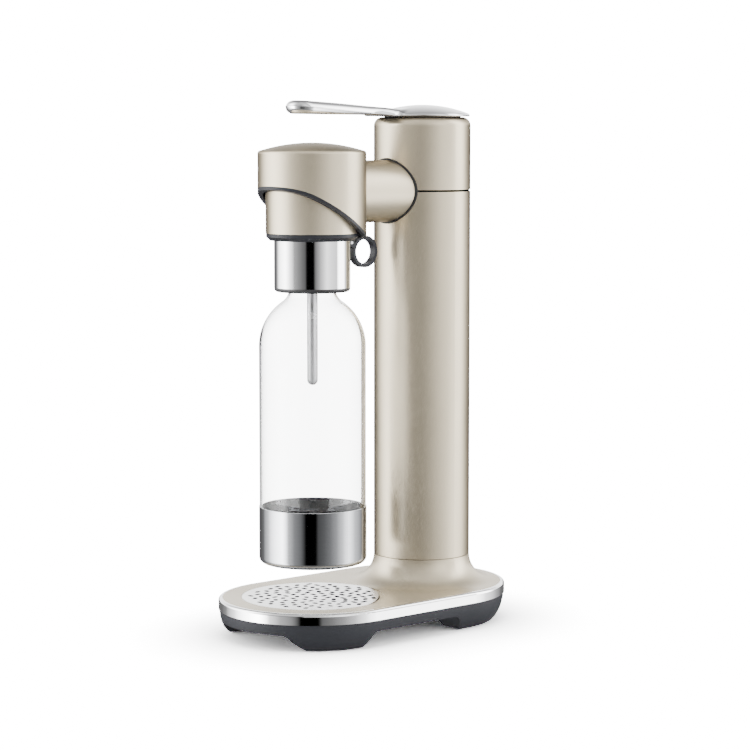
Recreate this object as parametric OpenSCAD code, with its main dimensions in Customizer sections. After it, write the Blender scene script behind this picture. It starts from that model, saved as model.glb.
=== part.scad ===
// Sparkling water maker: a stadium base with a drip tray, a round column that hides the gas
// cylinder, a press lever on top, and an arm whose head holds the capped bottle over the tray.
// The front faces -Y, +X is the right-hand side and z = 0 is the table.

/* [Base] */
// Width of the base across the trim
base_w = 151; // [148:0.5:156]
// Length of the base from front to back
base_len = 259.5; // [256:0.5:266]
// Height of the flat base top above the table
base_top_z = 31.2; // [29.4:0.2:34.4]
// Height of the trim band
trim_h = 8.8; // [8:0.1:9.6]
// Radius of the trim band's rounded top edge
trim_round = 2.2; // [1.6:0.1:2.8]
// Thickness of the trim band
trim_t = 3.2; // [2.9:0.1:3.4]
// Radius of the curve that draws the lower housing in towards the table
housing_curve = 32; // [29:0.5:40]
// Wall of the lower housing
housing_wall = 3.2; // [2.8:0.1:3.6]
// Floor thickness of the lower housing
floor_t = 2.5; // [2:0.1:3]
// Height of the arches between the legs
arch_h = 13.5; // [12:0.25:14.5]
// Distance from the side of the base to the front and back arches
leg_w = 28; // [26:0.5:31]
// Length of the side arches at the table
side_arch_l = 105; // [96:1:112]
// Run of an arch's slanted side
arch_slant = 8; // [6:0.5:10]
// Corner radius at the top of an arch
arch_round = 5; // [3:0.5:6]
// Diameter of a rubber foot pad
pad_d = 11; // [9:0.5:12]
// Drop of the foot pads below the legs
pad_drop = 0.8; // [0.5:0.1:1.2]
// Thickness of the base top plate
plate_t = 3.2; // [2.6:0.1:3.6]
// Diameter of the screws that hold the pieces together
screw_d = 3; // [2.6:0.1:3.2]

/* [Drip tray] */
// Diameter of the drip tray
tray_d = 113.8; // [110:0.2:118]
// Thickness of the drip tray
tray_t = 0.8; // [0.6:0.1:1.2]
// Width of the ledge that carries the tray's rim
tray_ledge = 3.5; // [2.5:0.1:4.5]
// Number of drain holes in the tray
tray_holes = 112; // [60:1:112]
// Width of a drain hole
hole_w = 3.6; // [2.4:0.1:3.6]
// Width of the finger gap beside the tray
finger_gap = 4.5; // [3:0.5:5]
// Radius of the tray's cut edge at the finger gap
finger_r = 80; // [72:1:90]
// Clearance between the drip well and the housing's floor
well_clear = 1.4; // [1:0.1:2]

/* [Column] */
// Distance from the bottle's axis back to the column's axis
axis_gap = 117.8; // [112:0.2:122]
// Outside diameter of the column
column_d = 79; // [74:0.2:84]
// Wall of the column shells
column_wall = 2.2; // [1.8:0.1:2.5]
// Height of the flare from the base top to the column
pedestal_h = 21.6; // [19:0.2:24]
// Height of the column from the flare to the dark seam
column_h = 299.9; // [280:0.1:320]
// Height of the seam gasket
seam_h = 1.6; // [1:0.1:1.8]
// Height of the tower above the seam
tower_h = 59.3; // [54:0.1:64]
// Radius of the tower's rounded shoulder
tower_round = 7; // [6.8:0.1:7.6]
// Half of the angle that the removable back cover spans, in degrees
cover_angle = 60; // [50:1:64]
// Wall of the inner frame
frame_t = 2.2; // [1.8:0.1:2.4]

/* [Gas supply] */
// Clearance between the inner frame and the gas cylinder
cylinder_gap = 2.5; // [2:0.1:4]
// Height of the frame's shelf above the seam
shelf_rise = 6; // [5:0.5:7]
// Diameter of the cylinder valve's thread
valve_d = 21; // [18:0.5:22]
// Distance from the column's outside to the valve block
block_inset = 15.5; // [14:0.5:18]
// Diameter of the plunger
plunger_d = 6; // [5:0.1:6.4]
// Diameter of the gas pipe
pipe_d = 6; // [5:0.1:7]
// Height of the gas pipe above the arm's axis
pipe_rise = 14.8; // [13:0.1:16]

/* [Arm and head] */
// Diameter of the arm
arm_d = 49.8; // [46:0.2:54]
// Drop of the arm's axis below the seam
arm_drop = 0.1; // [0:0.1:1]
// Wall of the arm
arm_wall = 2.6; // [2.2:0.1:3]
// Width of the dark gasket line where the arm meets the column
gasket_w = 1.5; // [1.2:0.1:2.4]
// Clearance between the cap and the dark rim round it
head_gap = 2.2; // [1.8:0.1:2.8]
// Wall of the head's hood
head_wall = 2.4; // [2:0.1:2.6]
// Height of the head's upper edge above the arm's axis
head_rise = 33.1; // [31:0.1:36]
// Rise of the head's dome above that edge
dome_h = 6.1; // [4:0.1:7]
// Radius of the head's rounded upper edge
head_round = 2.5; // [1.8:0.1:3]
// Height of the hood's lower edge above the arm's axis, at the front
cut_front_rise = 6.8; // [6:0.1:8.4]
// Drop of the hood's lower edge below the arm's axis, at the back
cut_back_drop = 34.2; // [32:0.1:36]
// Drop of the hood's lower edge below the arm's axis, at the bottle's axis
cut_mid_drop = 16.6; // [14:0.1:18]
// Slope of the hood's lower edge in degrees
cut_slope = 31; // [29:0.5:33]
// Radius that eases the hood's lower edge at front and back
cut_round = 60; // [50:1:66]
// Height of the dark rim under the hood's edge
rim_h = 2.8; // [2:0.1:3.2]

/* [Cap] */
// Diameter of the cap's sleeve
cap_d = 73.2; // [68:0.2:78]
// Height of the cap's sleeve
cap_h = 35.5; // [34:0.1:37]
// Clearance between the cap and the dock above it
cap_clear = 4; // [3:0.1:5]
// Height of the dark collar under the sleeve
collar_h = 5.6; // [5:0.1:6.2]
// Step in from the sleeve to the chrome grip
grip_step = 6.5; // [6:0.1:7.2]
// Height of the grip below the collar, with its lip
grip_h = 40.5; // [37:0.1:43]
// Height of the dark lip at the grip's lower edge
lip_h = 3.2; // [2.8:0.1:4]
// Diameter of the finger ring
ring_d = 25.6; // [23:0.1:26.4]
// Wall of the finger ring
ring_wall = 2.8; // [2.2:0.1:3.2]
// Width of the finger ring along its axis
ring_w = 6; // [5:0.1:6.4]
// Distance from the ring's pivot back to its centre
ring_out = 16.8; // [16.4:0.1:18]
// Drop from the ring's pivot to its centre
ring_drop = 7.6; // [7:0.1:8.4]
// Diameter of the dip tube
dip_d = 8.4; // [7:0.1:9.6]
// Length of the dip tube
dip_len = 142.7; // [120:0.5:220]

/* [Bottle] */
// Diameter of the bottle
bottle_d = 84.6; // [78:0.2:90]
// Wall of the bottle
bottle_wall = 1.6; // [1.2:0.1:2]
// Drop from the bottle's mouth to the start of its shoulder
shoulder_drop = 76; // [72:0.1:80]
// Radius of the shoulder's curve
shoulder_r = 46; // [44:0.1:48]
// Diameter of the bottle's neck
neck_d = 36; // [33:0.2:38]
// Radius of the hollow curve from the shoulder into the neck
neck_fillet = 14; // [10:0.5:16]
// Step out from the bottle to its steel base cup
cup_step = 0.5; // [0.4:0.05:0.8]
// Wall of the base cup
cup_wall = 0.8; // [0.6:0.1:1]
// Height of the base cup
cup_h = 45.3; // [40:0.1:60]
// Clearance under the cup above the base top
cup_clear = 27.8; // [27.6:0.1:31]
// Corner radius at the foot of the cup
cup_round = 5; // [3:0.5:7]

/* [Lever] */
// Step in from the column to the lever's domed disc
disc_step = 0.8; // [0.4:0.1:1.2]
// Clearance between the tower's top and the disc's rim
lever_lift = 0.6; // [0.5:0.1:1]
// Rise of the dome above the disc's rim
disc_rise = 9.7; // [9.6:0.1:11]
// Thickness of the dome and its rim
disc_t = 1.4; // [1.2:0.1:1.6]
// Reach of the lever's tip in front of the column's axis
lever_reach = 140.5; // [126:0.5:148]
// Half of the paddle's width
paddle_half = 14; // [12:0.5:16]
// Half of the neck's width
lever_neck_half = 11; // [10:0.5:12]
// Rise of the paddle's tip above the disc's rim
tip_rise = 12.2; // [10.6:0.1:13]
// Rise of the paddle's underside above the disc's rim, at the tip
tip_under = 1.6; // [1:0.1:2.4]
// Distance from the column's outside in to the lever's pivot
pivot_inset = 12.5; // [11.5:0.1:14]
// Drop from the tower's top to the lever's pivot
pivot_drop = 10; // [9:0.1:11]
// Diameter of the lever's pivot pin
pivot_d = 4; // [3:0.1:4.6]
// Turns of the plunger's return spring
spring_turns = 7; // [4:1:9]
// Wire diameter of the plunger's return spring
spring_wire = 1.2; // [0.8:0.1:1.4]

/* [Hidden] */
$fn = 64;

// Clearances: between bodies that move, between fixed pieces, and round a pin
gap = 0.3;
fit = 0.1;
run = 0.05;
// A length that reaches past every piece
far = 600;

// Base
end_r = base_w / 2;
straight = base_len - base_w;
bottle_y = -straight / 2;
column_y = bottle_y + axis_gap;
trim_low_z = base_top_z - trim_h;
housing_step = 0.8;
housing_r = end_r - housing_step;
floor_z = arch_h + floor_t;
end_arch_half = end_r - leg_w;
side_arch_shift = -7.8;
plate_r = end_r - trim_t - fit;
plate_low_z = base_top_z - plate_t;
skirt_r = housing_r - housing_wall - fit;
skirt_t = 2;
skirt_low_z = floor_z + 1.5;
pad_r = pad_d / 2;
pad_t = 2.2;
pad_x = end_arch_half + 8.5;
pad_front = 18.75;
pad_rear = 11.75;
screw_r = screw_d / 2;
screw_head_r = screw_r + 1.8;
screw_head_h = 1.8;
boss_r = screw_r + 2.5;
boss_reach = skirt_r - skirt_t - boss_r - 1.5;
side_boss_y = 5;
rear_boss_x = end_arch_half - 15.5;
rear_boss_y = -bottle_y + sqrt(pow(boss_reach, 2) - pow(rear_boss_x, 2));
base_screw_places = [
    [0, bottle_y - boss_reach],
    [-boss_reach, side_boss_y],
    [boss_reach, side_boss_y],
    [-rear_boss_x, rear_boss_y],
    [rear_boss_x, rear_boss_y]
];
pad_places = [
    [-pad_x, bottle_y - pad_front],
    [pad_x, bottle_y - pad_front],
    [-pad_x, -bottle_y + pad_rear],
    [pad_x, -bottle_y + pad_rear]
];

// Drip tray
tray_r = tray_d / 2;
tray_z = base_top_z - tray_t;
well_r = tray_r - tray_ledge;
well_wall = 1.8;
well_low_z = floor_z + well_clear + well_wall;
golden_angle = 137.508;
golden_part = 0.618;
hole_least = 0.5;
hole_spread = 0.6;
hole_turn = 77;
hole_lean = -42;
hole_swing = 35;
tray_border = 6.4;
finger_angle = 48;
pan_flange = 3;
pan_flange_t = 1.6;

// Column and frame
column_r = column_d / 2;
column_in = column_r - column_wall;
pedestal_z = base_top_z + pedestal_h;
spigot_r = column_in - fit;
spigot_t = 2.4;
spigot_in = spigot_r - spigot_t;
spigot_h = 10;
foot_joint = 0.6;
frame_r = spigot_in - fit;
frame_in = frame_r - frame_t;
frame_angle = 50;
frame_foot = 6;
seam_z = pedestal_z + column_h;
seam_low_z = seam_z - seam_h / 2;
seam_high_z = seam_z + seam_h / 2;
seam_depth = 1;
ring_band = 4;
tower_top_z = seam_z + tower_h;
tower_wall = 2.4;
tower_in = column_r - tower_wall;
tower_roof = 2.6;
slot_half = 17;
slot_front = 12;

// Gas supply
shelf_top_z = seam_z + shelf_rise;
shelf_t = 3;
cylinder_r = frame_in - cylinder_gap;
seat_floor = 5;
seat_r = frame_in - gap;
seat_h = 10;
cylinder_z = floor_z + seat_floor + gap;
cylinder_wall = 4;
cylinder_foot = 6;
valve_thread = 17;
valve_top_z = shelf_top_z + valve_thread;
valve_r = valve_d / 2;
valve_hex_r = 15;
valve_hex_h = 14;
shelf_slot_r = valve_hex_r + 1;
cylinder_bend = 4;
cylinder_shoulder_r = cylinder_r + cylinder_bend;
cylinder_neck_r = 14.5;
cylinder_neck_z = shelf_top_z - shelf_t - valve_hex_h + 2;
cylinder_rise = sqrt(pow(cylinder_shoulder_r, 2) - pow(cylinder_neck_r + cylinder_bend, 2));
cylinder_shoulder_z = cylinder_neck_z - cylinder_rise - 5;
block_r = column_r - block_inset;
seal_t = 1.5;
block_bore_z = valve_top_z + seal_t + 0.4;
block_drop = 21.7;
block_top_z = tower_top_z - block_drop;
block_screw_r = block_r - 5;
block_screw_angles = [200, 340];
plug_r = 3;
plug_z = block_bore_z - plug_r;
plunger_r = plunger_d / 2;
plunger_top_z = tower_top_z - 3.4;
plunger_head_r = plunger_r + 3;
plunger_head_h = 2;
valve_pin_r = 1.5;
valve_pin_z = valve_top_z - 6;
plunger_low_z = block_bore_z + 0.6;
valve_pin_top_z = plunger_low_z - gap;
pipe_r = pipe_d / 2;
pipe_wall = 1.2;
pipe_bend = 6;
pipe_seat = 3;
boss_tower = [column_r - 9, 6];
boss_h = 10;
boss_rib = tower_in + 1 - boss_tower[0];
boss_bite = 7;

// Lever
disc_r = column_r - disc_step;
disc_low_z = tower_top_z + lever_lift;
disc_top_z = disc_low_z + disc_rise;
tip_top_z = disc_low_z + tip_rise;
tip_low_z = disc_low_z + tip_under;
pivot_r = pivot_d / 2;
pivot_back = column_r - pivot_inset;
pivot_z = tower_top_z - pivot_drop;
ear_in = 13.2;
ear_t = 3.2;
ear_half = 5;
lug_in = 9.6;
lug_out = ear_in - gap;
bracket_t = 2.4;
disc_edge = 2.2;
dome_rise = disc_rise - disc_edge;
dome_r = (pow(disc_r, 2) + pow(dome_rise, 2)) / (2 * dome_rise);
lever_neck_z = disc_low_z + 2.6;
lever_under_z = disc_low_z + 1;
lever_dip_z = disc_low_z + 7;
neck_start = disc_r - 2.7;
neck_inner = disc_r - 12.7;
neck_front = 75;
flare_half = 15;
tip_run = 7;
tip_edge = 1.6;
tongue_front = column_r + 14.5;
tongue_step = column_r + 1.5;
tongue_half = lever_neck_half - 1.5;
tongue_low_z = disc_low_z - 0.1;
base_plate_r = disc_r - 7.7;
base_plate_z = disc_low_z + 1.6;
base_plate_t = 2.4;
tongue_back = base_plate_r - 3;
nose_r = 3;
skirt_drop = 4.5;
mouth_r = base_plate_r + 0.8;
lever_screw_x = 0.465 * disc_r;
lever_screw_bite = 4.2;
spring_r = plunger_r + 1.7;
spring_low_z = block_top_z + spring_wire / 2 + fit;
spring_high_z = plunger_top_z - plunger_head_h - spring_wire / 2 - fit;

// Arm and head
arm_z = seam_z - arm_drop;
arm_r = arm_d / 2;
arm_hole_r = arm_r + gasket_w + fit;
arm_web = 3.4;
arm_screw_x = 12;
arm_screw_drop = 12;
arm_screw_l = 8;
gasket_proud = 0.5;
pipe_z = arm_z + pipe_rise;
cap_r = cap_d / 2;
rim_in = cap_r + head_gap;
rim_t = 1.6;
head_in = rim_in + rim_t;
head_r = head_in + head_wall;
head_edge_z = arm_z + head_rise;
cut_front_z = arm_z + cut_front_rise;
cut_back_z = arm_z - cut_back_drop;
cut_mid_z = arm_z - cut_mid_drop;
head_skirt_z = cut_back_z - 20;
hood_dome_r = (pow(head_r - head_round, 2) + pow(dome_h, 2)) / (2 * dome_h);
liner_h = 3.5;
dock_low_z = cut_front_z + 1;
dock_t = 3.6;
dock_r = rim_in - fit;
dock_screw_ring = dock_r - 10.7;
dock_screw_angles = [-90, 30, 150];
dock_screw_bite = 8;
spigot_drop = 11;
dock_spigot_r = 9;
nozzle_r = pipe_r;
nozzle_low_z = dock_low_z - spigot_drop - 4;
nozzle_top_z = pipe_z - pipe_bend;
front_corner_y = -(cut_front_z - cut_mid_z) / tan(cut_slope);
back_corner_y = (cut_mid_z - cut_back_z) / tan(cut_slope);
cut_tangent = cut_round * tan(cut_slope / 2);

// Cap
cap_top_z = dock_low_z - cap_clear;
cap_low_z = cap_top_z - cap_h;
cap_wall = 2;
cap_round = 1.5;
collar_low_z = cap_low_z - collar_h;
collar_foot = 2.8;
grip_r = cap_r - grip_step;
grip_wall = 1.7;
grip_top_z = collar_low_z - fit;
grip_low_z = collar_low_z - grip_h;
grip_in = grip_r - grip_wall;
lip_top_z = grip_low_z + lip_h;
lip_round = lip_h - 0.4;
neck_top_z = collar_low_z - 11.9;
core_r = cap_r - cap_wall - fit;
core_low_z = neck_top_z + 3;
core_top_z = dock_low_z - spigot_drop - seal_t - gap;
core_disc_z = cap_low_z + 8.5;
core_post_r = 14;
core_stem_r = grip_in - fit;
socket_r = nozzle_r + 2 * gap;
gas_way_r = 2;
socket_z = nozzle_low_z - 1;
ring_r = ring_d / 2;
ring_tab_t = 4.4;
ring_pivot_y = cap_r - 0.1;
ring_pivot_z = collar_low_z - 3;
ring_reach = ring_pivot_y + ring_out;
ring_z = ring_pivot_z - ring_drop;
ring_lean = atan2(ring_z - ring_pivot_z, ring_reach - ring_pivot_y);
ring_span = norm([ring_z - ring_pivot_z, ring_reach - ring_pivot_y]);
ring_pin_r = 1.2;
ring_ear_t = 2.6;
ring_ear_r = 3.2;
ring_pin_half = ring_w / 2 + gap + ring_ear_t;
relief_r = 2.4;
relief_y = core_stem_r - relief_r - 3.8;
relief_low_z = core_low_z + 1;
relief_top_z = core_disc_z;
dip_r = dip_d / 2;
dip_wall = 1.6;
dip_hole_r = 1;
dip_top_z = socket_z - 1;
dip_low_z = dip_top_z - dip_len;

// Bottle
bottle_r = bottle_d / 2;
shoulder_z = neck_top_z - shoulder_drop;
neck_r = neck_d / 2;
fillet_run = neck_r + neck_fillet - bottle_r + shoulder_r;
fillet_rise = sqrt(pow(shoulder_r + neck_fillet, 2) - pow(fillet_run, 2));
fillet_z = shoulder_z + fillet_rise;
cup_r = bottle_r + cup_step;
cup_low_z = base_top_z + cup_clear;
cup_rim_z = cup_low_z + cup_h;
cup_gap = 0.25;
foot_r = cup_r - cup_wall - cup_gap;
bottle_low_z = cup_low_z + cup_wall + cup_gap;
foot_top_z = cup_rim_z + cup_gap;
foot_round = cup_round - cup_wall;
seal_w = 5;
insert_in = neck_r + gap;
insert_low_z = lip_top_z + fit;
insert_top_z = core_low_z - fit;

// Places its children on the bottle's axis
module at_bottle() {
    translate([0, bottle_y, 0]) children();
}

// Places its children on the column's axis
module at_column() {
    translate([0, column_y, 0]) children();
}

// Carries a half section, radius by height, round the stadium outline of the base
module stadium() {
    for (turn = [0, 180])
        rotate([0, 0, turn]) translate([0, straight / 2, 0]) {
            rotate_extrude(angle = 180) children();
            rotate([90, 0, 0]) linear_extrude(straight) children();
        }
}

// A round tube between two heights
module tube(outer, inner, low, high) {
    translate([0, 0, low]) difference() {
        cylinder(r = outer, h = high - low);
        translate([0, 0, -1]) cylinder(r = inner, h = high - low + 2);
    }
}

// A solid rod between two heights
module rod(radius, low, high) {
    translate([0, 0, low]) cylinder(r = radius, h = high - low);
}

// A rod along X, centred on the plane of symmetry
module cross_rod(radius, half) {
    rotate([0, 90, 0]) cylinder(r = radius, h = 2 * half, center = true);
}

// A wedge that opens towards +Y, used to split a tube lengthwise
module wedge(half_angle, low, high) {
    wide = far * sin(half_angle);
    edge = far * cos(half_angle);
    translate([0, 0, low]) linear_extrude(high - low)
        polygon([[0, 0], [wide, edge], [wide, far], [-wide, far], [-wide, edge]]);
}

// A pan-head screw that points up, with the underside of its head at the given height
module screw(low, length) {
    rod(screw_head_r, low - screw_head_h, low);
    rod(screw_r, low, low + length);
}

// Outline of an arch with slanted sides and rounded top corners
module arch(half) {
    top = half - arch_slant;
    lean = atan(arch_h / arch_slant);
    cut = arch_round * tan(lean / 2);
    side = [top + cut * cos(lean), arch_h - cut * sin(lean)];
    polygon([
        [-half, -far], [half, -far], [half, 0], side, [top - cut, arch_h],
        [cut - top, arch_h], [-side[0], side[1]], [-half, 0]
    ]);
    for (s = [-1, 1])
        translate([s * (top - cut), arch_h - arch_round]) circle(arch_round);
}

// Lower housing with four legs
module base_bottom() {
    color("#4b4c50") difference() {
        stadium() {
            translate([0, pad_drop]) square([housing_r - housing_curve, trim_low_z - pad_drop]);
            intersection() {
                translate([0, pad_drop]) square([housing_r, trim_low_z - pad_drop]);
                translate([housing_r - housing_curve, trim_low_z]) circle(housing_curve);
            }
        }
        stadium() translate([0, floor_z]) square([housing_r - housing_wall, far]);
        rotate([90, 0, 0]) linear_extrude(far, center = true) arch(end_arch_half);
        translate([0, side_arch_shift, 0]) rotate([90, 0, 90])
            linear_extrude(far, center = true) arch(side_arch_l / 2);
        for (p = pad_places)
            translate(p) rod(pad_r + fit, -1, pad_t + fit);
        for (p = base_screw_places)
            translate(p) rod(screw_r + gap, 0, floor_z + 1);
    }
}

// Bright band between the lower housing and the base top
module base_trim() {
    color("#dcdcde") stadium() translate([end_r - trim_t, trim_low_z]) {
        square([trim_t - trim_round, trim_h]);
        square([trim_t, trim_h - trim_round]);
        intersection() {
            square([trim_t, trim_h]);
            translate([trim_t - trim_round, trim_h - trim_round]) circle(trim_round);
        }
    }
}

// Painted top with the flared pedestal, a ledge for the tray and a spigot for the column
module base_top() {
    color("#c9c0b2") difference() {
        union() {
            stadium() translate([0, plate_low_z]) square([plate_r, plate_t]);
            stadium() translate([skirt_r - skirt_t, skirt_low_z])
                square([skirt_t, plate_low_z - skirt_low_z + 1]);
            intersection() {
                at_column() rotate_extrude() difference() {
                    square_to(column_r + pedestal_h, base_top_z - 1, pedestal_z);
                    translate([column_r + pedestal_h, pedestal_z]) circle(pedestal_h);
                }
                stadium() square_to(plate_r, plate_low_z, pedestal_z + 1);
            }
            at_column() rod(spigot_r, plate_low_z, pedestal_z + spigot_h);
            for (p = base_screw_places)
                translate(p) rod(boss_r, floor_z + fit, plate_low_z + 1);
        }
        at_column() rod(spigot_in, 0, far);
        at_bottle() rod(tray_r + gap, tray_z - fit, far);
        at_bottle() rod(well_r, 0, far);
        for (p = base_screw_places)
            translate(p) rod(screw_r + run, 0, plate_low_z);
    }
}

// Pan under the tray that holds the drips, welded to the base top by its flange
module drip_pan() {
    color("#3a3b3e") at_bottle() difference() {
        union() {
            rod(well_r + well_wall, well_low_z - well_wall, plate_low_z - fit);
            rod(well_r + pan_flange, plate_low_z - pan_flange_t, plate_low_z - fit);
        }
        rod(well_r, well_low_z, far);
    }
}

// Rubber pads under the legs
module foot_pads() {
    color("#2a2a2c") for (p = pad_places)
        translate(p) rod(pad_r, 0, pad_t);
}

// Screws that clamp the lower housing to the base top
module base_screws() {
    color("#a8a8aa") for (p = base_screw_places)
        translate(p) screw(arch_h, plate_low_z - arch_h - 1);
}

// Perforated tray: round-ended drain holes spread on a golden-angle spiral, and one edge cut back
// to leave a gap for a finger
module drip_tray() {
    reach = tray_r - tray_border;
    color("#cfcfd1") at_bottle() translate([0, 0, tray_z]) linear_extrude(tray_t) difference() {
        intersection() {
            circle(tray_r);
            rotate(finger_angle) translate([tray_r - finger_gap - finger_r, 0]) circle(finger_r);
        }
        for (i = [0 : tray_holes - 1]) {
            part = i * golden_part - floor(i * golden_part);
            long = hole_w * (hole_least + hole_spread * part);
            rotate(i * golden_angle) translate([reach * sqrt((i + 0.5) / tray_holes), 0])
                rotate(hole_lean + hole_swing * sin(i * hole_turn) - i * golden_angle) {
                    square([long, hole_w], center = true);
                    for (s = [-1, 1])
                        translate([s * long / 2, 0]) circle(d = hole_w);
                }
        }
    }
}

// Cup that steadies the foot of the gas cylinder
module cylinder_seat() {
    color("#3a3b3e") at_column() difference() {
        rod(seat_r, floor_z, floor_z + seat_floor + seat_h);
        rod(cylinder_r + gap, floor_z + seat_floor, far);
    }
}

// Front half-tube that carries the valve block on a forked shelf
module column_frame() {
    color("#8d8f92") at_column() difference() {
        union() {
            intersection() {
                union() {
                    tube(frame_r, frame_in, floor_z, shelf_top_z);
                    tube(frame_r + frame_foot, frame_in, floor_z, floor_z + frame_t);
                }
                rotate([0, 0, 180]) wedge(frame_angle, 0, far);
            }
            rod(frame_r, shelf_top_z - shelf_t, shelf_top_z);
        }
        rod(shelf_slot_r, shelf_top_z - shelf_t - 1, far);
        translate([-shelf_slot_r, 0, shelf_top_z - shelf_t - 1]) cube([2 * shelf_slot_r, far, far]);
        for (s = [-1, 1])
            translate([s * boss_tower[0], boss_tower[1], 0])
                rod(screw_r + gap, shelf_top_z - shelf_t - 1, far);
        for (a = block_screw_angles)
            rotate([0, 0, a]) translate([block_screw_r, 0, 0])
                rod(screw_r + gap, shelf_top_z - shelf_t - 1, far);
        translate([0, 0, arm_z]) arm_screw_holes(screw_r + gap);
    }
}

// Holes for the screws that draw the arm onto the frame
module arm_screw_holes(radius) {
    for (s = [-1, 1])
        translate([s * arm_screw_x, 0, -arm_screw_drop]) rotate([90, 0, 0]) cylinder(r = radius, h = far);
}

// Through cut for the arm in the column's shells
module arm_hole() {
    translate([0, 0, arm_z]) rotate([90, 0, 0]) cylinder(r = arm_hole_r, h = far);
}

// Painted column below the seam, open at the back behind its cover
module column_shell() {
    color("#c4bbad") at_column() difference() {
        tube(column_r, column_in, pedestal_z + foot_joint, seam_low_z);
        wedge(cover_angle, pedestal_z + ring_band, seam_low_z - ring_band);
        arm_hole();
    }
}

// Back cover that pulls off for changing the gas cylinder
module rear_cover() {
    color("#c4bbad") at_column() intersection() {
        tube(column_r, column_in, pedestal_z + ring_band + gap, seam_low_z - ring_band - gap);
        translate([0, gap + fit, 0]) wedge(cover_angle, 0, far);
    }
}

// Dark gasket in the seam below the tower
module seam_gasket() {
    color("#2c2c2e") at_column() difference() {
        tube(column_r - seam_depth, column_in, seam_low_z, seam_high_z);
        arm_hole();
    }
}

// Upper tower with a rounded shoulder and a slot for the lever's lugs
module tower_head() {
    color("#c4bbad") at_column() difference() {
        union() {
            rotate_extrude() difference() {
                union() {
                    translate([0, seam_high_z]) square([column_r, tower_top_z - tower_round - seam_high_z]);
                    translate([0, seam_high_z]) square([column_r - tower_round, tower_top_z - seam_high_z]);
                    translate([column_r - tower_round, tower_top_z - tower_round]) circle(tower_round);
                }
                square([tower_in, tower_top_z - tower_round]);
                square([tower_in - tower_round + tower_wall, tower_top_z - tower_roof]);
            }
            for (s = [-1, 1])
                translate([s * boss_tower[0], boss_tower[1], 0]) {
                    rod(boss_r, shelf_top_z + fit, shelf_top_z + boss_h);
                    translate([s > 0 ? 0 : -boss_rib, -boss_r, shelf_top_z + fit])
                        cube([boss_rib, 2 * boss_r, boss_h - fit]);
                }
        }
        for (s = [-1, 1])
            translate([s * boss_tower[0], boss_tower[1], 0])
                rod(screw_r + run, 0, shelf_top_z + boss_h - 1);
        rod(mouth_r, tower_top_z - tower_round, far);
        translate([-slot_half, -slot_front, tower_top_z - tower_round - 1])
            cube([2 * slot_half, slot_front + pivot_back + ear_half + 2 * gap, far]);
        arm_hole();
    }
}

// Screws that hold the tower down on the frame's shelf
module tower_screws() {
    color("#a8a8aa") at_column() for (s = [-1, 1])
        translate([s * boss_tower[0], boss_tower[1], 0])
            screw(shelf_top_z - shelf_t, shelf_t + boss_bite);
}

// Half outline of the gas cylinder, drawn in by the given wall
module cylinder_outline(wall) {
    low = cylinder_z + cylinder_foot;
    square_to(cylinder_r - cylinder_foot, cylinder_z + wall, cylinder_shoulder_z);
    square_to(cylinder_r - wall, low, cylinder_shoulder_z);
    translate([cylinder_r - cylinder_foot, low]) circle(cylinder_foot - wall);
    intersection() {
        square_to(cylinder_r, cylinder_shoulder_z, cylinder_shoulder_z + cylinder_rise);
        translate([-cylinder_bend, cylinder_shoulder_z]) circle(cylinder_shoulder_r - wall);
    }
    square_to(cylinder_neck_r - wall, cylinder_shoulder_z, cylinder_neck_z - fit + wall);
}

// Hollow gas cylinder with a domed shoulder and an open neck
module gas_cylinder() {
    color("#b9bdc2") at_column() rotate_extrude() difference() {
        cylinder_outline(0);
        cylinder_outline(cylinder_wall);
    }
}

// A half section of a rod, from the axis out
module square_to(radius, low, high) {
    translate([0, low]) square([radius, high - low]);
}

// Brass valve on the cylinder's neck
module cylinder_valve() {
    color("#b8964a") at_column() difference() {
        union() {
            translate([0, 0, cylinder_neck_z]) cylinder(r = valve_hex_r, h = valve_hex_h - 2, $fn = 6);
            rod(valve_r, cylinder_neck_z, valve_top_z);
        }
        rod(valve_pin_r + run, valve_pin_z - 2, far);
    }
}

// Pin in the valve that lets the gas out when it is pushed down
module valve_pin() {
    color("#c9b06a") at_column() rod(valve_pin_r, valve_pin_z, valve_pin_top_z);
}

// Metal block that takes the valve and leads the gas to the arm
module valve_block() {
    color("#9a9ca0") at_column() difference() {
        rod(block_r, shelf_top_z, block_top_z);
        rod(valve_r + gap, 0, block_bore_z);
        rod(plunger_r + run, 0, far);
        translate([0, 0, pipe_z]) rotate([90, 0, 0]) cylinder(r = pipe_r + fit, h = far);
        translate([0, 0, plug_z]) rotate([0, 90, 0]) cylinder(r = plug_r + fit, h = far);
        for (a = block_screw_angles)
            rotate([0, 0, a]) translate([block_screw_r, 0, 0])
                rod(screw_r + run, 0, shelf_top_z + boss_h - 1);
    }
}

// Washer that seals the valve in the block
module cylinder_seal() {
    color("#232325") at_column()
        tube(valve_r - 1, plunger_r + 1, block_bore_z - seal_t, block_bore_z);
}

// Over-pressure plug in the side of the valve block
module safety_plug() {
    color("#b8964a") at_column() translate([0, 0, plug_z]) rotate([0, 90, 0]) {
        rod(plug_r, valve_r + 1, block_r);
        translate([0, 0, block_r]) cylinder(r = plug_r + 2, h = plug_r, $fn = 6);
    }
}

// Screws that hold the valve block on the shelf
module block_screws() {
    color("#a8a8aa") at_column() for (a = block_screw_angles)
        rotate([0, 0, a]) translate([block_screw_r, 0, 0])
            screw(shelf_top_z - shelf_t, shelf_t + boss_bite);
}

// Rod that carries the lever's push down to the valve pin
module plunger() {
    color("#c2c4c8") at_column() {
        rod(plunger_r, plunger_low_z, plunger_top_z - 1);
        rod(plunger_head_r, plunger_top_z - plunger_head_h, plunger_top_z);
    }
}

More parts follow.
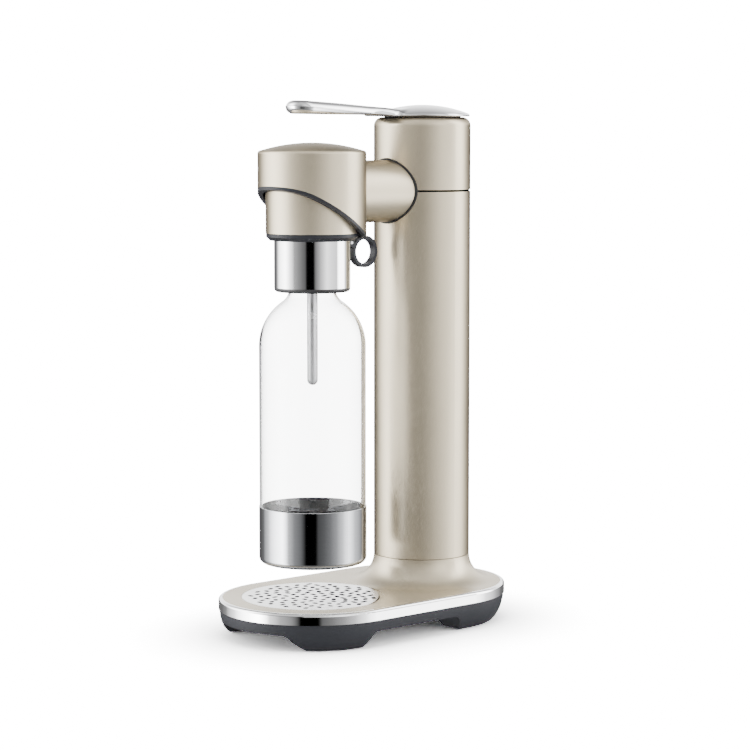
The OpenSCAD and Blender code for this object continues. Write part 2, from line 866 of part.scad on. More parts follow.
// Return spring round the plunger: a wire of six sides wound on a helix
module plunger_spring() {
    steps = 8 * spring_turns;
    sides = 6;
    rise = (spring_high_z - spring_low_z) / steps;
    wire_r = spring_wire / 2;
    points = [
        for (i = [0 : steps]) for (k = [0 : sides - 1])
            let (a = i * 45, b = k * 360 / sides, r = spring_r + wire_r * cos(b))
                [r * cos(a), r * sin(a), spring_low_z + i * rise + wire_r * sin(b)]
    ];
    walls = [
        for (i = [0 : steps - 1]) for (k = [0 : sides - 1]) for (t = [0, 1])
            let (p = i * sides + k, q = i * sides + (k + 1) % sides)
                t == 0 ? [p, p + sides, q] : [q, p + sides, q + sides]
    ];
    ends = [
        for (k = [1 : sides - 2]) for (t = [0, 1])
            let (last = steps * sides)
                t == 0 ? [0, k, k + 1] : [last, last + k + 1, last + k]
    ];
    echo(least_gap_between_turns = 8 * rise - spring_wire);
    color("#b0b2b6") at_column() polyhedron(points, concat(walls, ends));
}

// Bracket on the valve block whose ears hold the lever's pin
module pivot_bracket() {
    color("#8d8f92") at_column() difference() {
        union() {
            translate([-ear_in - ear_t, -plunger_head_r - 4, block_top_z])
                cube([2 * (ear_in + ear_t), plunger_head_r + 4 + pivot_back + ear_half, bracket_t]);
            for (x = [-ear_in - ear_t, ear_in])
                translate([x, pivot_back, 0]) {
                    translate([0, -ear_half, block_top_z])
                        cube([ear_t, 2 * ear_half, pivot_z - block_top_z]);
                    translate([0, 0, pivot_z]) rotate([0, 90, 0]) cylinder(r = ear_half, h = ear_t);
                }
        }
        rod(plunger_head_r + 1, 0, far);
        translate([0, pivot_back, pivot_z]) cross_rod(pivot_r + run, far);
    }
}

// Pin that the lever turns on
module lever_pin() {
    color("#c2c4c8") at_column() translate([0, pivot_back, pivot_z]) cross_rod(pivot_r, ear_in + ear_t);
}

// Side view of the lever's neck and paddle, distance from the column's axis by height
module lever_side() {
    polygon([
        [-neck_inner, base_plate_z + base_plate_t + gap],
        [-neck_start, base_plate_z + base_plate_t + gap],
        [-neck_start, lever_neck_z],
        [-tongue_front - 1, lever_neck_z],
        [-tongue_front - 1, lever_under_z],
        [tip_run - lever_reach, tip_low_z],
        [tip_edge - lever_reach, tip_low_z + tip_edge],
        [-lever_reach, (tip_low_z + tip_top_z) / 2],
        [tip_edge - lever_reach, tip_top_z - tip_edge],
        [tip_run - lever_reach, tip_top_z],
        [-neck_start - 2, lever_dip_z],
        [-neck_inner, lever_dip_z]
    ]);
}

// Top view of the lever's neck and paddle
module lever_plan() {
    translate([0, paddle_half - lever_reach]) circle(paddle_half);
    polygon([
        [-paddle_half, paddle_half - lever_reach], [paddle_half, paddle_half - lever_reach],
        [lever_neck_half, -neck_front], [lever_neck_half, -tongue_front], [flare_half, -neck_start],
        [flare_half, 0], [-flare_half, 0], [-flare_half, -neck_start],
        [-lever_neck_half, -tongue_front], [-lever_neck_half, -neck_front]
    ]);
}

// Polished lever: a domed disc over the tower with a paddle that reaches forward
module lever() {
    color("#d6d7da") at_column() difference() {
        union() {
            rotate_extrude() difference() {
                union() {
                    square_to(disc_r, disc_low_z, disc_low_z + disc_edge);
                    intersection() {
                        square_to(disc_r, disc_low_z, disc_top_z);
                        translate([0, disc_top_z - dome_r]) circle(dome_r, $fn = 128);
                    }
                }
                intersection() {
                    square_to(disc_r - disc_t, disc_low_z - 1, disc_top_z);
                    translate([0, disc_top_z - dome_r]) circle(dome_r - disc_t, $fn = 128);
                }
            }
            intersection() {
                rotate([90, 0, 90]) linear_extrude(far, center = true) lever_side();
                linear_extrude(2 * far) lever_plan();
            }
            for (s = [-1, 1])
                intersection() {
                    translate([s * lever_screw_x, 0, 0])
                        rod(boss_r, base_plate_z + base_plate_t + fit, disc_top_z);
                    translate([0, 0, disc_top_z - dome_r]) sphere(dome_r - disc_t / 2, $fn = 128);
                }
        }
        translate([-tongue_half - gap, -tongue_front - 1, disc_low_z - 1])
            cube([2 * (tongue_half + gap), tongue_front, lever_neck_z - disc_low_z + 1]);
        for (s = [-1, 1])
            translate([s * lever_screw_x, 0, 0]) rod(screw_r + run, 0, base_plate_z + lever_screw_bite + 1);
    }
}

// Dark body under the lever, with the nose over the plunger and the pivot lugs
module lever_base() {
    color("#333437") at_column() difference() {
        union() {
            intersection() {
                union() {
                    rod(base_plate_r, base_plate_z, base_plate_z + base_plate_t);
                    rod(nose_r, plunger_top_z + gap, base_plate_z + 1);
                    for (x = [-lug_out, lug_in])
                        translate([x, pivot_back, pivot_z]) {
                            rotate([0, 90, 0]) cylinder(r = ear_half - 1, h = lug_out - lug_in);
                            translate([0, 1 - ear_half, 0])
                                cube([lug_out - lug_in, 2 * ear_half - 2, base_plate_z - pivot_z + 1]);
                        }
                }
                translate([0, 0, disc_top_z - dome_r]) sphere(dome_r - disc_t - gap, $fn = 128);
            }
            difference() {
                tube(base_plate_r, base_plate_r - base_plate_t, base_plate_z - skirt_drop, base_plate_z + 1);
                translate([-far / 2, pivot_back - ear_half - 2, 0]) cube(far);
            }
            translate([-tongue_half, -tongue_front, base_plate_z])
                cube([2 * tongue_half, tongue_front - tongue_back, lever_neck_z - base_plate_z - fit]);
            translate([-tongue_half, -tongue_front, tongue_low_z])
                cube([2 * tongue_half, tongue_front - tongue_step, lever_neck_z - tongue_low_z - fit]);
        }
        translate([0, pivot_back, pivot_z]) cross_rod(pivot_r + run, far);
        for (s = [-1, 1])
            translate([s * lever_screw_x, 0, 0]) rod(screw_r + gap, 0, far);
    }
}

// Screws that hold the dark body in the lever
module lever_screws() {
    color("#a8a8aa") at_column() for (s = [-1, 1])
        translate([s * lever_screw_x, 0, 0]) screw(base_plate_z, lever_screw_bite);
}

// Arm from the column to the head, with a curved end wall on the frame
module arm_tube() {
    color("#c4bbad") difference() {
        translate([0, column_y, arm_z]) rotate([90, 0, 0]) cylinder(r = arm_r, h = axis_gap);
        at_column() rod(frame_r + fit, 0, 2 * far);
        at_bottle() rod(head_in, 0, 2 * far);
        difference() {
            translate([0, column_y, arm_z]) rotate([90, 0, 0]) cylinder(r = arm_r - arm_wall, h = axis_gap);
            at_column() rod(frame_r + fit + arm_web, 0, 2 * far);
        }
        translate([0, column_y, pipe_z]) rotate([90, 0, 0]) cylinder(r = pipe_r + gap, h = axis_gap);
        translate([0, column_y, arm_z]) arm_screw_holes(screw_r + run);
    }
}

// Dark gasket where the arm enters the column
module arm_gasket() {
    color("#2c2c2e") at_column() intersection() {
        tube(column_r + gasket_proud, column_in, arm_z - arm_d, arm_z + arm_d);
        translate([0, 0, arm_z]) rotate([90, 0, 0]) difference() {
            cylinder(r = arm_hole_r - fit, h = far);
            translate([0, 0, -1]) cylinder(r = arm_r + fit, h = far + 2);
        }
    }
}

// Screws that draw the arm onto the frame, driven from the back
module arm_screws() {
    inside = sqrt(pow(frame_in, 2) - pow(arm_screw_x + screw_head_r, 2));
    color("#a8a8aa") at_column() for (s = [-1, 1])
        translate([s * arm_screw_x, -inside, arm_z - arm_screw_drop])
            rotate([90, 0, 0]) screw(0, arm_screw_l);
}

// Pipe that takes the gas through the arm and down to the nozzle
module gas_pipe() {
    color("#b0b2b6") {
        translate([0, column_y - block_r + pipe_seat, pipe_z]) rotate([90, 0, 0])
            tube(pipe_r, pipe_r - pipe_wall, 0, axis_gap - block_r + pipe_seat - pipe_bend);
        translate([0, bottle_y + pipe_bend, pipe_z - pipe_bend]) rotate([90, 0, 90]) rotate([0, 0, 90])
            rotate_extrude(angle = 90) translate([pipe_bend, 0]) difference() {
                circle(pipe_r);
                circle(pipe_r - pipe_wall);
            }
    }
}

// Half outline of the hood, drawn in by the given wall
module hood_outline(wall) {
    edge = max(head_round - wall, 0.05);
    square_to(head_r - wall, head_skirt_z, head_edge_z - wall - edge);
    square_to(head_r - wall - edge, head_skirt_z, head_edge_z - wall);
    translate([head_r - wall - edge, head_edge_z - wall - edge]) circle(edge);
    intersection() {
        square_to(head_r - head_round, head_edge_z - wall - 1, head_edge_z + dome_h);
        translate([0, head_edge_z + dome_h - hood_dome_r]) circle(hood_dome_r - wall, $fn = 128);
    }
}

// Space below the hood's wave-shaped edge, moved up or down by a shift
module below_edge(shift) {
    front = [front_corner_y, cut_front_z];
    back = [back_corner_y, cut_back_z];
    along = cut_tangent * [cos(cut_slope), -sin(cut_slope)];
    level = [cut_tangent, 0];
    rotate([90, 0, 90]) linear_extrude(far, center = true) translate([0, shift]) {
        difference() {
            polygon([
                [-far, 0], [-far, cut_front_z], front - level, front + along,
                back - along, back + level, [far, cut_back_z], [far, 0]
            ]);
            translate(back + level + [0, cut_round]) circle(cut_round, $fn = 128);
        }
        intersection() {
            polygon([front - level, front, front + along]);
            translate(front - level - [0, cut_round]) circle(cut_round, $fn = 128);
        }
    }
}

// Painted hood with a low dome and a wave-cut lower edge
module head_shell() {
    color("#c4bbad") at_bottle() difference() {
        union() {
            rotate_extrude() difference() {
                hood_outline(0);
                hood_outline(head_wall);
                square_to(head_in, 0, head_skirt_z + 1);
            }
            for (a = dock_screw_angles)
                rotate([0, 0, a]) translate([dock_screw_ring, 0, 0])
                    rod(boss_r, dock_low_z + dock_t + fit, head_edge_z + 0.8);
        }
        below_edge(0);
        translate([0, 0, arm_z]) rotate([-90, 0, 0]) cylinder(r = arm_r + fit, h = far);
        for (a = dock_screw_angles)
            rotate([0, 0, a]) translate([dock_screw_ring, 0, 0])
                rod(screw_r + run, 0, dock_low_z + dock_t + dock_screw_bite + 1);
    }
}

// Dark rim that follows the hood's lower edge
module head_rim() {
    color("#3b3c40") at_bottle() {
        difference() {
            intersection() {
                tube(head_r, rim_in, head_skirt_z, head_edge_z);
                below_edge(-fit);
            }
            below_edge(-rim_h);
        }
        difference() {
            intersection() {
                tube(head_in - fit, rim_in, head_skirt_z, head_edge_z);
                below_edge(liner_h);
            }
            below_edge(-rim_h);
        }
    }
}

// Plate inside the hood that the cap docks under
module cap_dock() {
    color("#333437") at_bottle() difference() {
        union() {
            rod(dock_r, dock_low_z, dock_low_z + dock_t);
            rod(dock_spigot_r, dock_low_z - spigot_drop, dock_low_z + 1);
        }
        rod(nozzle_r + fit, 0, nozzle_top_z + fit);
        translate([0, pipe_bend / 3, 0]) rod(pipe_r + pipe_bend / 3 + gap, nozzle_top_z, far);
        for (a = dock_screw_angles)
            rotate([0, 0, a]) translate([dock_screw_ring, 0, 0]) rod(screw_r + gap, 0, far);
    }
}

// Screws that hold the dock plate under the hood
module dock_screws() {
    color("#a8a8aa") at_bottle() for (a = dock_screw_angles)
        rotate([0, 0, a]) translate([dock_screw_ring, 0, 0]) screw(dock_low_z, dock_t + dock_screw_bite);
}

// Gas nozzle in the dock's spigot
module nozzle() {
    color("#b0b2b6") at_bottle() tube(nozzle_r, nozzle_r - pipe_wall, nozzle_low_z, nozzle_top_z);
}

// Washer between the dock's spigot and the cap
module nozzle_seal() {
    low = dock_low_z - spigot_drop - seal_t;
    color("#232325") at_bottle() tube(dock_spigot_r - 1, nozzle_r + fit, low, low + seal_t);
}

// Painted sleeve of the cap, closed at the top round the dock's spigot
module cap_sleeve() {
    color("#c4bbad") at_bottle() rotate_extrude() difference() {
        union() {
            square_to(cap_r, cap_low_z, cap_top_z - cap_round);
            square_to(cap_r - cap_round, cap_low_z, cap_top_z);
            translate([cap_r - cap_round, cap_top_z - cap_round]) circle(cap_round);
        }
        square_to(cap_r - cap_wall, 0, cap_top_z - cap_wall);
        square_to(dock_spigot_r + 2, 0, far);
    }
}

// Inner body of the cap that joins the gas nozzle, the dip tube and the grip
module cap_core() {
    color("#3a3b3e") at_bottle() difference() {
        union() {
            rod(core_stem_r, core_low_z, cap_low_z + 1);
            rod(core_r, cap_low_z + fit, core_disc_z);
            rod(core_post_r, core_disc_z - 1, core_top_z);
        }
        rod(dip_r + fit, 0, dip_top_z + fit);
        rod(gas_way_r, 0, far);
        rod(socket_r, socket_z, far);
        translate([0, relief_y, 0]) rod(relief_r + fit, 0, far);
    }
}

// Dark collar under the sleeve with two ears for the finger ring
module cap_collar() {
    inner = core_stem_r + fit;
    outer = cap_r - gap;
    high = cap_low_z - fit;
    ear_y = grip_r + 1;
    ear_low_z = ring_pivot_z - ring_ear_r;
    color("#3b3c40") at_bottle() difference() {
        union() {
            rotate_extrude() polygon([
                [inner, collar_low_z], [outer - collar_foot, collar_low_z],
                [outer, collar_low_z + collar_h / 2], [outer, high], [inner, high]
            ]);
            for (x = [-ring_pin_half, ring_w / 2 + gap])
                translate([x, 0, 0]) {
                    translate([0, ear_y, ear_low_z])
                        cube([ring_ear_t, ring_pivot_y - ear_y, collar_low_z + 1 - ear_low_z]);
                    translate([0, ring_pivot_y, ring_pivot_z]) rotate([0, 90, 0])
                        cylinder(r = ring_ear_r, h = ring_ear_t);
                }
        }
        translate([0, ring_pivot_y, ring_pivot_z]) cross_rod(ring_pin_r + run, far);
    }
}

// Pin through the collar's ears
module ring_pin() {
    color("#a8a8aa") at_bottle() translate([0, ring_pivot_y, ring_pivot_z])
        cross_rod(ring_pin_r, ring_pin_half);
}

// Finger ring that opens the relief valve when it is pulled down
module release_ring() {
    color("#3b3c40") at_bottle() difference() {
        union() {
            translate([0, ring_reach, ring_z]) cross_rod(ring_r, ring_w / 2);
            translate([0, ring_pivot_y, ring_pivot_z]) rotate([ring_lean, 0, 0]) {
                cross_rod(ring_tab_t / 2, ring_w / 2);
                translate([-ring_w / 2, 0, -ring_tab_t / 2])
                    cube([ring_w, ring_span - ring_r + ring_wall / 2, ring_tab_t]);
            }
        }
        translate([0, ring_reach, ring_z]) cross_rod(ring_r - ring_wall, far);
        translate([0, ring_pivot_y, ring_pivot_z]) cross_rod(ring_pin_r + run, far);
    }
}

// Valve that lets the pressure out of the bottle
module relief_valve() {
    color("#b8964a") at_bottle() translate([0, relief_y, 0]) rod(relief_r, relief_low_z, relief_top_z);
}

// Bright grip of the cap
module cap_grip() {
    color("#d6d7da") at_bottle() tube(grip_r, grip_in, lip_top_z + fit, grip_top_z);
}

// Dark lip with a rounded edge at the foot of the grip
module grip_lip() {
    outer = grip_r - fit;
    color("#333437") at_bottle() rotate_extrude() difference() {
        intersection() {
            square_to(outer, grip_low_z, lip_top_z);
            union() {
                square_to(outer, grip_low_z + lip_round, lip_top_z);
                square_to(outer - lip_round, grip_low_z, lip_top_z);
                translate([outer - lip_round, grip_low_z + lip_round]) circle(lip_round);
            }
        }
        square_to(neck_r + 3, 0, far);
    }
}

// Insert in the grip that takes the bottle's neck
module thread_insert() {
    color("#3a3b3e") at_bottle() tube(grip_in - fit, insert_in, insert_low_z, insert_top_z);
}

// Washer over the bottle's mouth
module bottle_seal() {
    color("#232325") at_bottle() tube(neck_r - fit, neck_r - seal_w, neck_top_z + gap, insert_top_z);
}

// Half outline of a bar with a round lower end, for the dip tube and its bore
module dip_outline(radius, high) {
    square_to(radius, dip_low_z + dip_r, high);
    intersection() {
        square_to(dip_r, dip_low_z, dip_low_z + dip_r + 1);
        translate([0, dip_low_z + dip_r]) circle(radius);
    }
}

// Metal tube with a round nose that leads the gas down into the bottle
module dip_tube() {
    color("#8f9195") at_bottle() rotate_extrude() difference() {
        dip_outline(dip_r, dip_top_z);
        dip_outline(dip_r - dip_wall, far);
        square_to(dip_hole_r, 0, far);
    }
}

// Half outline of the bottle, drawn in by the given wall
module bottle_outline(wall) {
    corner = foot_round - wall;
    square_to(foot_r - wall, bottle_low_z + foot_round, foot_top_z + wall);
    square_to(foot_r - foot_round, bottle_low_z + wall, foot_top_z);
    translate([foot_r - foot_round, bottle_low_z + foot_round]) circle(corner);
    square_to(bottle_r - wall, foot_top_z + wall, shoulder_z);
    intersection() {
        square_to(bottle_r - wall, shoulder_z - 1, shoulder_z + shoulder_r);
        translate([bottle_r - shoulder_r, shoulder_z]) circle(shoulder_r - wall, $fn = 128);
    }
    meet = (shoulder_r - wall) / (shoulder_r + neck_fillet);
    difference() {
        square_to(bottle_r - shoulder_r + fillet_run * meet, shoulder_z + fillet_rise * meet, fillet_z);
        translate([neck_r + neck_fillet, fillet_z]) circle(neck_fillet + wall);
    }
    square_to(neck_r - wall, shoulder_z, neck_top_z + wall);
}

// Clear bottle with a round shoulder and an open neck
module bottle() {
    color("#e4eaee") at_bottle() rotate_extrude() difference() {
        bottle_outline(0);
        bottle_outline(bottle_wall);
    }
}

// Half outline of the base cup, drawn in by the given wall
module cup_outline(wall) {
    square_to(cup_r - wall, cup_low_z + cup_round, cup_rim_z + wall);
    square_to(cup_r - cup_round, cup_low_z + wall, cup_rim_z + wall);
    translate([cup_r - cup_round, cup_low_z + cup_round]) circle(cup_round - wall);
}

// Steel cup round the bottle's foot
module bottle_base() {
    color("#b4b6ba") at_bottle() rotate_extrude() difference() {
        cup_outline(0);
        cup_outline(cup_wall);
    }
}

base_bottom();
base_trim();
base_top();
drip_pan();
foot_pads();
base_screws();
drip_tray();
cylinder_seat();
column_frame();
column_shell();
rear_cover();
seam_gasket();
tower_head();
tower_screws();
gas_cylinder();
cylinder_valve();
valve_pin();
valve_block();
cylinder_seal();
safety_plug();
block_screws();
plunger();
plunger_spring();
pivot_bracket();
lever_pin();
lever();
lever_base();
lever_screws();
arm_tube();
arm_gasket();
arm_screws();
gas_pipe();
head_shell();
head_rim();
cap_dock();
dock_screws();
nozzle();
nozzle_seal();
cap_sleeve();
cap_core();
cap_collar();
ring_pin();
release_ring();
relief_valve();
cap_grip();
grip_lip();
thread_insert();
bottle_seal();
dip_tube();
bottle();
bottle_base();
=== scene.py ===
import math

import bmesh
import bpy
import numpy as np
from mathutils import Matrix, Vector


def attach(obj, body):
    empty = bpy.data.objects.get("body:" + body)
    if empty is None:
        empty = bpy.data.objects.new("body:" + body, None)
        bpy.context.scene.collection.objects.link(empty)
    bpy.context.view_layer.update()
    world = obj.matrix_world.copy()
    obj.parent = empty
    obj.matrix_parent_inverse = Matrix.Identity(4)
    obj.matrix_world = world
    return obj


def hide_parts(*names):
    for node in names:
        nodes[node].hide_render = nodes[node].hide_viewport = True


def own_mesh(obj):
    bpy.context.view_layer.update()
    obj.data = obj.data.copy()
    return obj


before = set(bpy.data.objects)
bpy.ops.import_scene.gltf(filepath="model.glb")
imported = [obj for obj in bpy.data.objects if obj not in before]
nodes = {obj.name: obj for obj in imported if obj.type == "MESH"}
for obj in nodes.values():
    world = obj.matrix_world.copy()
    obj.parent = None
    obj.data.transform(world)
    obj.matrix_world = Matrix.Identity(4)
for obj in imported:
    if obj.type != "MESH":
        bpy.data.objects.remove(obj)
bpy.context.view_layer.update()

# The studio is a white surround over a pale floor, with soft boxes on both sides and overhead.
# Bright finishes mirror a surround that is bright at the sides and black round the camera, with pale
# sheets higher up in front and behind. Turns are in degrees from the camera's direction, to its right.
scene = bpy.context.scene
camera_turn, camera_pan, camera_tilt = 48.6, 48.33, 5.82
camera_place, camera_lens, sensor_width = (1.4460, -1.2750, 0.4014), 115.3, 36.0
floor_half, fade_from, fade_to, base_line_half = 3.0, 0.06, 0.16, 0.054
paper_lit, paper_seen = 0.85, 2.4
seen_glow, fill_glow, end_glow, rear_glow, front_glow = 16.0, 0.6, 0.35, 3.2, 0.6
wall_split, band_top, band_foot = (-0.13, -0.09), (0.45, 1.0), (-0.65, -0.3)
rear_turns, rear_start, rear_fall = (100, 145), (0.02, 0.12), (0.12, 0.8)
front_turns, front_start = (60, 110), (0.08, 0.3)


def around(turn, distance, height):
    """A place at a distance from the object, turned to the right of the camera's direction in degrees."""
    a = math.radians(camera_turn + turn)
    return (distance * math.sin(a), -distance * math.cos(a), height)


def add_mesh(name, points, faces, smooth=True):
    """A mesh object at the origin from an (n, 3) array of points in metres and a list of faces."""
    mesh = bpy.data.meshes.new(name)
    mesh.from_pydata(points.tolist(), [], faces if isinstance(faces, list) else faces.tolist())
    mesh.polygons.foreach_set("use_smooth", np.full(len(mesh.polygons), smooth))
    mesh.update()
    made = bpy.data.objects.new(name, mesh)
    scene.collection.objects.link(made)
    return made


def new_material(name, **sockets):
    """A material with one Principled shader whose sockets take the given plain values."""
    material = bpy.data.materials.new(name)
    material.use_nodes = True
    shader = material.node_tree.nodes["Principled BSDF"]
    for socket, value in sockets.items():
        shader.inputs[socket.replace("_", " ")].default_value = value
    return material, material.node_tree, shader


def area_light(name, place, target, width, height, watts):
    """A rectangular area light at a place that points at a target."""
    light = bpy.data.lights.new(name, "AREA")
    light.shape, light.size, light.size_y, light.energy = "RECTANGLE", width, height, watts
    lamp = bpy.data.objects.new(name, light)
    lamp.location = place
    aim = Vector(target) - Vector(place)
    lamp.rotation_euler = aim.to_track_quat("-Z", "Y").to_euler()
    lamp.visible_glossy = False
    scene.collection.objects.link(lamp)


def sum_node(tree, operation, *values):
    """A Math node on sockets or plain numbers; returns its output."""
    made = tree.nodes.new("ShaderNodeMath")
    made.operation = operation
    for socket, value in zip(made.inputs, values):
        if isinstance(value, (int, float)):
            socket.default_value = value
        else:
            tree.links.new(value, socket)
    return made.outputs[0]


def range_node(tree, value, from_low, from_high, to_low, to_high):
    """A smooth Map Range node from one span to another; returns its output."""
    made = tree.nodes.new("ShaderNodeMapRange")
    made.interpolation_type = "SMOOTHSTEP"
    spans = {"From Min": from_low, "From Max": from_high, "To Min": to_low, "To Max": to_high}
    for name, number in spans.items():
        made.inputs[name].default_value = number
    tree.links.new(value, made.inputs["Value"])
    return made.outputs["Result"]


def looked_at(tree):
    """One for rays that come straight from the camera or through the clear bottle, else nought."""
    path = tree.nodes.new("ShaderNodeLightPath")
    bounces = sum_node(tree, "ADD", path.outputs["Glossy Depth"], path.outputs["Diffuse Depth"])
    straight = sum_node(tree, "LESS_THAN", bounces, 0.5)
    through = sum_node(tree, "MULTIPLY", path.outputs["Is Transmission Ray"], straight)
    return sum_node(tree, "MAXIMUM", path.outputs["Is Camera Ray"], through), path


camera_data = bpy.data.cameras.new("camera")
camera_data.lens, camera_data.sensor_width = camera_lens, sensor_width
camera = bpy.data.objects.new("camera", camera_data)
camera.location = camera_place
camera.rotation_euler = (math.radians(90 - camera_tilt), 0, math.radians(camera_pan))
scene.collection.objects.link(camera)
scene.camera = camera

corners = np.array([[-1, -1, 0], [1, -1, 0], [1, 1, 0], [-1, 1, 0]])
floor = add_mesh("floor", corners * floor_half, [[0, 1, 2, 3]], False)
floor_paper, tree, shader = new_material("floor_paper")
tree.nodes.remove(shader)
paper, clear = (tree.nodes.new("ShaderNodeBsdf" + k) for k in ("Diffuse", "Transparent"))
seen, _ = looked_at(tree)
tree.links.new(range_node(tree, seen, 0, 1, paper_lit, paper_seen), paper.inputs["Color"])
kinds = ("TexCoord", "SeparateXYZ", "CombineXYZ", "VectorMath")
spot, split, offset, reach = (tree.nodes.new("ShaderNode" + k) for k in kinds)
tree.links.new(spot.outputs["Object"], split.inputs[0])
near = sum_node(tree, "MAXIMUM", split.outputs["Y"], -base_line_half)
near = sum_node(tree, "MINIMUM", near, base_line_half)
tree.links.new(split.outputs["X"], offset.inputs["X"])
tree.links.new(sum_node(tree, "SUBTRACT", split.outputs["Y"], near), offset.inputs["Y"])
reach.operation = "LENGTH"
tree.links.new(offset.outputs[0], reach.inputs[0])
away = range_node(tree, reach.outputs["Value"], fade_from, fade_to, 0, 1)
away = sum_node(tree, "MULTIPLY", away, seen)
blend = tree.nodes.new("ShaderNodeMixShader")
tree.links.new(away, blend.inputs["Fac"])
tree.links.new(paper.outputs[0], blend.inputs[1])
tree.links.new(clear.outputs[0], blend.inputs[2])
tree.links.new(blend.outputs[0], tree.nodes["Material Output"].inputs["Surface"])
floor.visible_glossy = False
floor.data.materials.append(floor_paper)

world = bpy.data.worlds.new("studio")
world.use_nodes = True
tree = world.node_tree
sky = tree.nodes["Background"]
sky.inputs["Color"].default_value = (1, 1, 1, 1)
seen, path = looked_at(tree)
view = tree.nodes.new("ShaderNodeTexCoord")
part = tree.nodes.new("ShaderNodeSeparateXYZ")
tree.links.new(view.outputs["Generated"], part.inputs[0])
level = part.outputs["Z"]
back = sum_node(tree, "MULTIPLY", part.outputs["Y"], -1.0)
heading = sum_node(tree, "ARCTAN2", part.outputs["X"], back)
turn = sum_node(tree, "SUBTRACT", heading, math.radians(camera_turn))
turn = sum_node(tree, "WRAP", turn, math.pi, -math.pi)
apart = sum_node(tree, "ABSOLUTE", turn)
along = sum_node(tree, "MULTIPLY_ADD", turn, 0.5 / math.pi, 0.5)


def wall_glow(turns, glows):
    """Brightness of the surround by turn from the camera's direction, read from a colour ramp."""
    ramp = tree.nodes.new("ShaderNodeValToRGB")
    stops = ramp.color_ramp.elements
    while len(stops) < len(turns):
        stops.new(0.5)
    for stop, degrees, glow in zip(stops, turns, glows):
        stop.position = (degrees + 180) / 360
        stop.color = (*[glow / max(glows)] * 3, 1)
    tree.links.new(along, ramp.inputs["Fac"])
    return sum_node(tree, "MULTIPLY", ramp.outputs["Color"], max(glows))


upper_wall = wall_glow(
    [-180, -138, -128, -112, -88, -70, -55, -41, -28, -20, -15, 6,
     10, 22, 35, 47, 61, 84, 89, 110, 120, 134, 145, 180],
    [0.2, 0.2, 1.0, 6, 10, 3.2, 0.65, 0.38, 0.22, 0.16, 0, 0,
     0.2, 0.6, 1.4, 2.6, 2.0, 1.4, 9, 9, 1.5, 0.3, 0.2, 0.2])
lower_wall = wall_glow(
    [-180, -145, -130, -110, -88, -68, -53, -39, -25, -14, 8,
     12.6, 25, 39, 53, 68, 84, 103, 128, 145, 180],
    [0.2, 0.2, 0.4, 2.4, 10, 16, 2, 0.7, 0.4, 0, 0,
     0.18, 0.28, 0.5, 1.0, 2.6, 7, 2.4, 0.7, 0.2, 0.2])
height = range_node(tree, level, *wall_split, 0, 1)
upper = sum_node(tree, "MULTIPLY", upper_wall, height)
lower = sum_node(tree, "MULTIPLY", lower_wall, sum_node(tree, "SUBTRACT", 1.0, height))
side = sum_node(tree, "ADD", upper, lower)
above = range_node(tree, level, *band_top, 1, 0)
below = range_node(tree, level, *band_foot, 0, 1)
band = sum_node(tree, "MULTIPLY", above, below)
ends = sum_node(tree, "MULTIPLY", sum_node(tree, "SUBTRACT", 1.0, band), end_glow)
rear = range_node(tree, apart, *np.radians(rear_turns), 0, 1)
rear = sum_node(tree, "MULTIPLY", rear, range_node(tree, level, *rear_start, 0, rear_glow))
rear = sum_node(tree, "MULTIPLY", rear, range_node(tree, level, *rear_fall, 1, 0))
ahead = range_node(tree, apart, *np.radians(front_turns), front_glow, 0)
ahead = sum_node(tree, "MULTIPLY", ahead, range_node(tree, level, *front_start, 0, 1))
sheets = sum_node(tree, "ADD", rear, ahead)
mirrored = sum_node(tree, "MULTIPLY_ADD", side, band, sum_node(tree, "ADD", ends, sheets))
bounced = sum_node(tree, "GREATER_THAN", path.outputs["Glossy Depth"], 0.5)
behind_plastic = sum_node(tree, "MULTIPLY", path.outputs["Is Transmission Ray"], bounced)
glossy = sum_node(tree, "MAXIMUM", path.outputs["Is Glossy Ray"], behind_plastic)
plain = sum_node(tree, "MULTIPLY", sum_node(tree, "SUBTRACT", 1.0, glossy), fill_glow)
fill = sum_node(tree, "MULTIPLY_ADD", glossy, mirrored, plain)
tree.links.new(sum_node(tree, "MULTIPLY_ADD", seen, seen_glow, fill), sky.inputs["Strength"])
scene.world = world

area_light("left_box", around(-65, 1.6, 0.75), (0, 0, 0.6), 1.7, 2.0, 46)
area_light("right_box", around(60, 1.6, 0.75), (0, 0, 0.6), 1.8, 2.0, 44)
area_light("top_box", (0.1, -0.1, 1.9), (0, 0, 0.2), 1.4, 1.4, 36)

# The lower housing is one moulding of dark slate plastic with a fine grain, cut out into four legs.
# Rubber pads are pressed into the legs, and steel screws run up into the base top.


